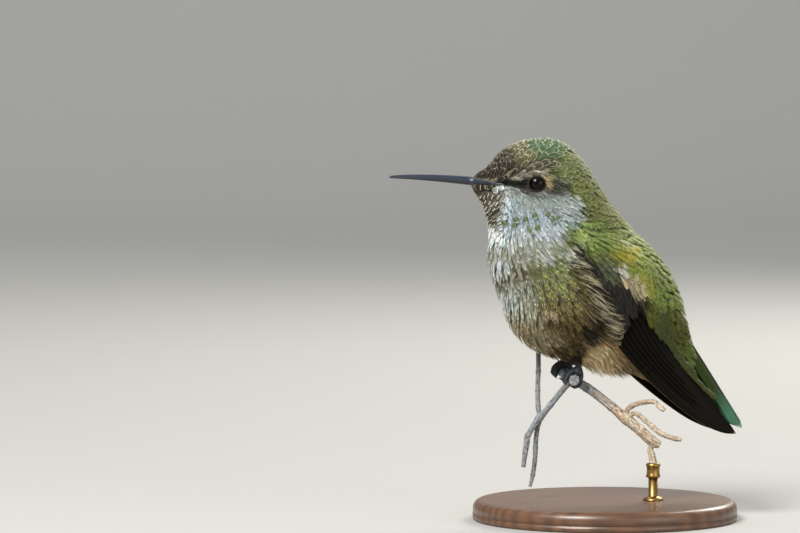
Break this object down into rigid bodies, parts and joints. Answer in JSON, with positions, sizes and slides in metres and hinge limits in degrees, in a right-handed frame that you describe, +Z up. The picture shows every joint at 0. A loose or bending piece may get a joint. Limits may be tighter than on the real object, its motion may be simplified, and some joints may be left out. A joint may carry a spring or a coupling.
{
  "type": "perched hummingbird",
  "caption": "Female Anna's hummingbird, life size, perched on a short fork of dry twig held by a round display stand.",
  "frame": {"origin": "centre of the underside of the round stand base, on the surface it stands on", "axes": "+Z up, the bird faces -X with its left side towards -Y"},
  "size_m": [0.0734, 0.054, 0.0776],
  "materials": {
    "crown_feathers": "bronze green scales with pale fringes",
    "nape_feathers": "green scales with pale fringes",
    "breast_feathers": "soft grey-white barbs with dusky green spots",
    "vent_feathers": "soft buff fluff",
    "covert_feathers": "iridescent green, satin",
    "flight_feathers": "brownish black, satin",
    "tail_feathers": "green with dark ends and white tips, satin",
    "bill_horn": "black horn, semi-gloss",
    "foot_scutes": "blue-black scutes, satin",
    "eye": "black, glossy",
    "twig": "dry grey bark, matt",
    "base_wood": "dark walnut, satin",
    "rod_brass": "satin"
  },
  "bodies": {
    "root": {"head": "crown_feathers", "neck": "nape_feathers", "trunk": "breast_feathers", "rump": "vent_feathers", "tail": "tail_feathers", "bill_upper": "bill_horn", "bill_lower": "bill_horn", "eye_left": "eye", "eye_right": "eye", "wing_left_coverts": "covert_feathers", "wing_right_coverts": "covert_feathers", "wing_left_primaries": "flight_feathers", "wing_right_primaries": "flight_feathers", "leg_left": "foot_scutes", "leg_right": "foot_scutes", "foot_left": "foot_scutes", "foot_right": "foot_scutes", "perch_grip": "twig", "perch_arm_long": "twig", "perch_arm_short": "twig", "perch_twig_rear": "twig", "perch_twig_low": "twig", "perch_shoot_upper": "twig", "perch_shoot_lower": "twig", "perch_stem": "twig", "stand_base": "base_wood", "stand_rod": "rod_brass", "stand_collar": "rod_brass"}
  },
  "joints": []
}
